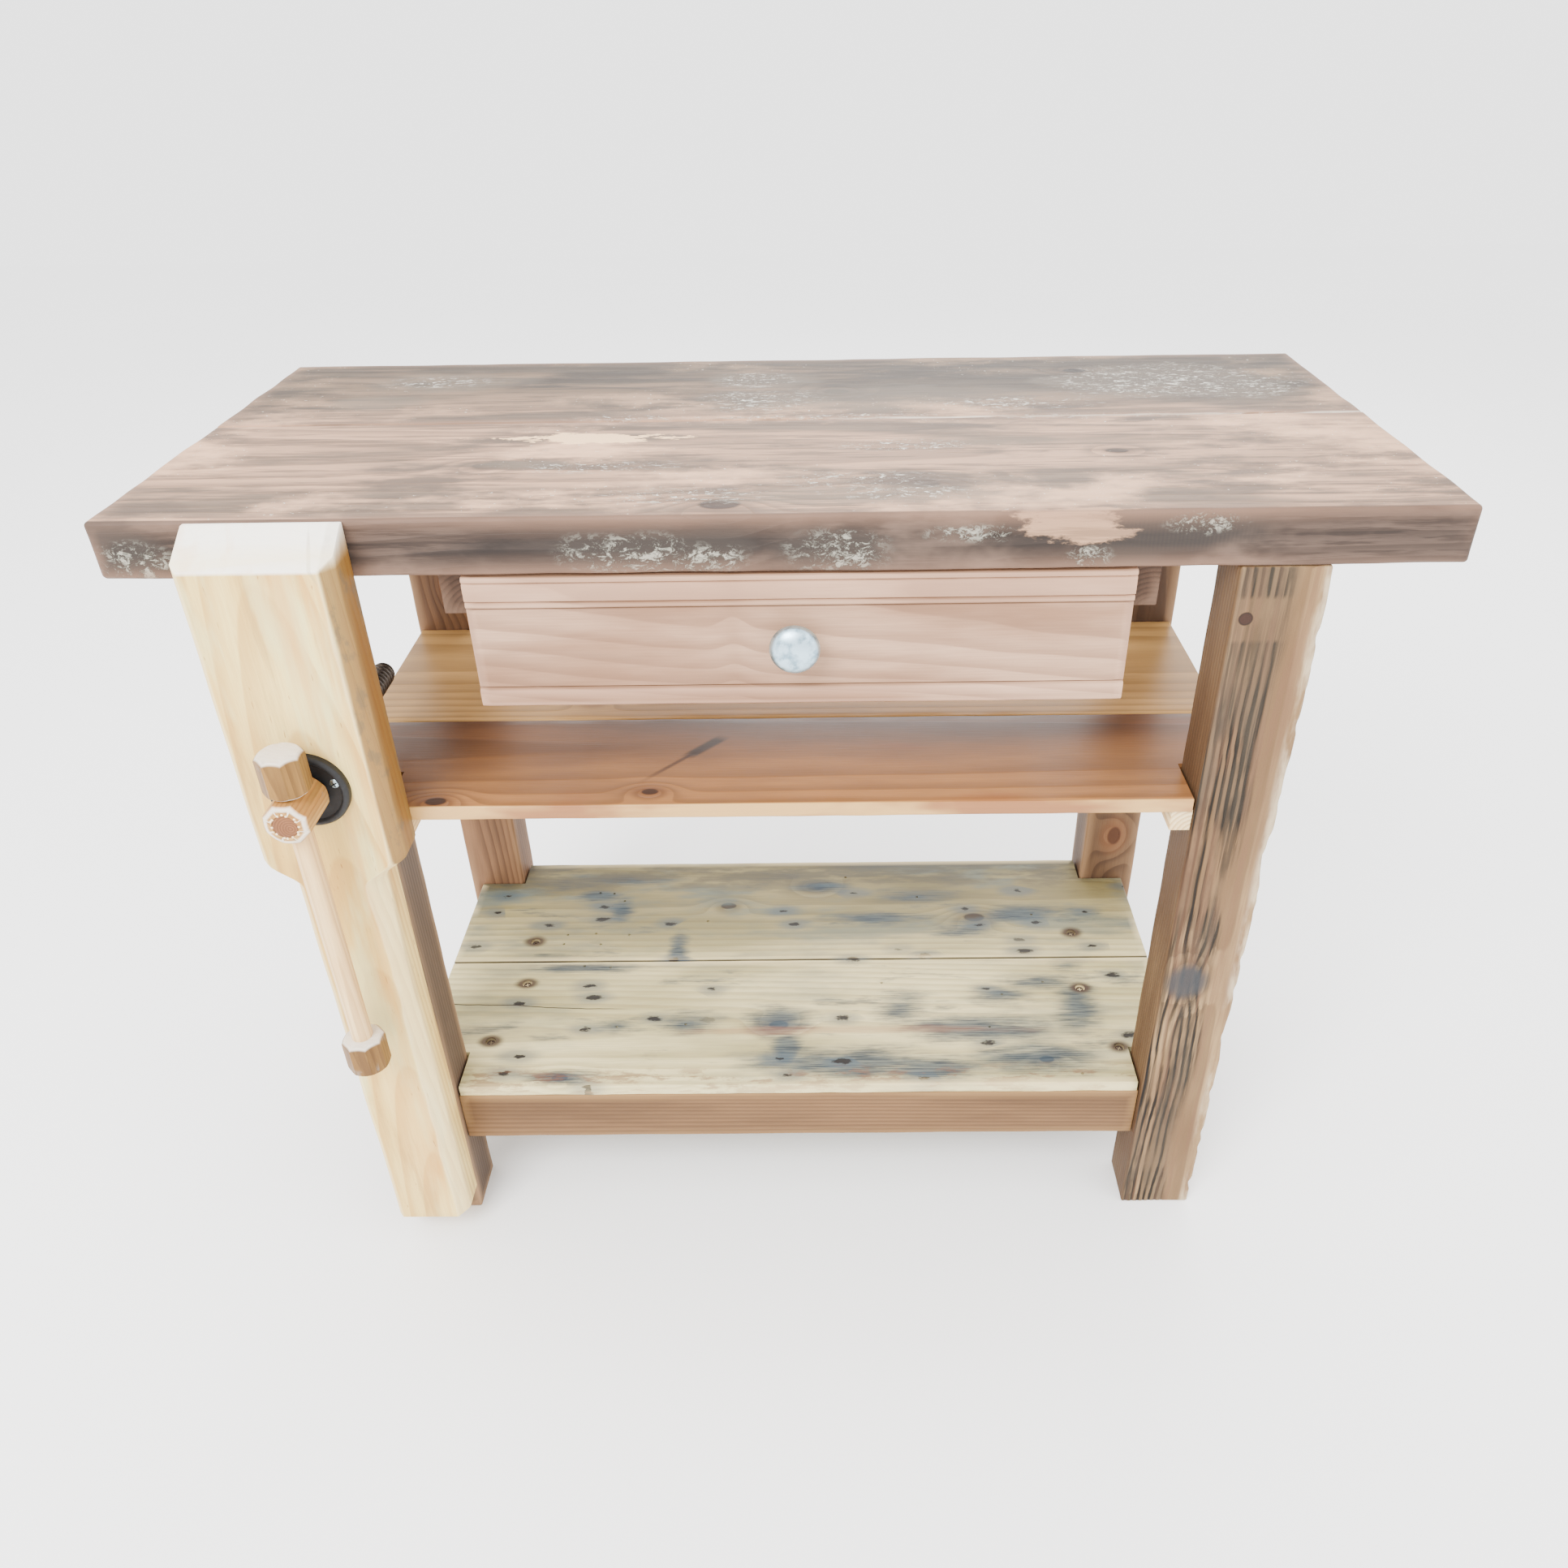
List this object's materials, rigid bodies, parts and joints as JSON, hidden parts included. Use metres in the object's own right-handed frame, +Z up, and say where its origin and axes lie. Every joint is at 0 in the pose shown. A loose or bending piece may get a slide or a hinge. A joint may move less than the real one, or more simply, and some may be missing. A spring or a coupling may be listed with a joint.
{
  "type": "potting bench",
  "caption": "Small workbench of reclaimed timber with a leg vise on the left front leg, a hung drawer with a round knob and two shelves.",
  "frame": {"origin": "On the floor under the middle of the bench's outline, the vise's hub and handle included.", "axes": "+X to the right along the bench as the user at the vise side sees it, -Y towards the user, +Z up."},
  "size_m": [1.126, 0.5948, 0.85],
  "materials": {
    "weathered_worktop": "sanded and weathered",
    "beech": "plain",
    "pink_grey_pine": "sanded, oiled",
    "grey_ridged_pine": "weathered, ridged grain",
    "red_brown_pine": "sanded, oiled",
    "stained_pale_pine": "waxed, with blue-black stains",
    "orange_pine": "satin wax",
    "yellow_pine": "satin wax",
    "new_pine": "planed, bare",
    "dark_pine": "sawn, old",
    "dark_screw_steel": "dark, worn",
    "zinc_steel": "bright zinc",
    "sanded_drawer_pine": "sanded, matt",
    "plain_pine": "planed",
    "thin_plywood": "plain",
    "pewter": "soft pewter sheen",
    "black_iron": "black paint",
    "grey_spindle_steel": "oiled, worn",
    "handle_wood": "turned and planed, oiled",
    "brown_plug_wood": "end grain, worn"
  },
  "bodies": {
    "bench": {"back_left_leg": "red_brown_pine", "back_right_leg": "red_brown_pine", "cleat_screws": "zinc_steel", "front_left_leg": "pink_grey_pine", "front_right_leg": "grey_ridged_pine", "left_drawer_runner": "dark_pine", "left_shelf_batten": "plain_pine", "left_shelf_cleat": "new_pine", "lower_back_rail": "red_brown_pine", "lower_front_rail": "pink_grey_pine", "lower_left_rail": "red_brown_pine", "lower_right_rail": "red_brown_pine", "lower_shelf_back_board": "stained_pale_pine", "lower_shelf_front_board": "stained_pale_pine", "lower_shelf_screws": "dark_screw_steel", "middle_shelf_back_board": "yellow_pine", "middle_shelf_front_board": "orange_pine", "nut_screws": "zinc_steel", "right_drawer_runner": "dark_pine", "right_shelf_batten": "plain_pine", "right_shelf_cleat": "new_pine", "runner_screws": "zinc_steel", "vise_nut": "black_iron", "worktop_back_board": "weathered_worktop", "worktop_dowels": "beech", "worktop_front_board": "weathered_worktop"},
    "drawer": {"drawer_back": "plain_pine", "drawer_bottom": "thin_plywood", "drawer_front": "sanded_drawer_pine", "drawer_knob": "pewter", "drawer_left_batten": "plain_pine", "drawer_left_side": "plain_pine", "drawer_right_batten": "plain_pine", "drawer_right_side": "plain_pine", "drawer_screws": "zinc_steel", "knob_bolt": "zinc_steel"},
    "vise_chop": {"flange_screws": "zinc_steel", "vise_chop": "new_pine", "vise_flange": "black_iron", "vise_guide": "new_pine"},
    "vise_screw": {"hub_plug": "brown_plug_wood", "spindle_collar": "grey_spindle_steel", "vise_hub": "handle_wood", "vise_spindle": "grey_spindle_steel"},
    "handle": {"handle_lower_cap": "handle_wood", "handle_rod": "handle_wood", "handle_upper_cap": "handle_wood"}
  },
  "joints": [
    {"name": "drawer_slide", "type": "slide", "parent": "bench", "child": "drawer", "axis": [0, -1, 0], "range_m": [0, 0.25]},
    {"name": "vise_slide", "type": "slide", "parent": "bench", "child": "vise_chop", "axis": [0, -1, 0], "range_m": [0, 0.108]},
    {"name": "screw_spin", "type": "hinge", "parent": "vise_chop", "child": "vise_screw", "pos_m": [-0.416, -0.2379, 0.623], "axis": [0, -1, 0], "range_deg": [0, 6480]},
    {"name": "handle_slide", "type": "slide", "parent": "vise_screw", "child": "handle", "axis": [0, 0, 1], "range_m": [0, 0.242]}
  ],
  "couplings": [
    {"joint": "vise_slide", "follows": "screw_spin", "m_per_rad": 0.00095493}
  ]
}
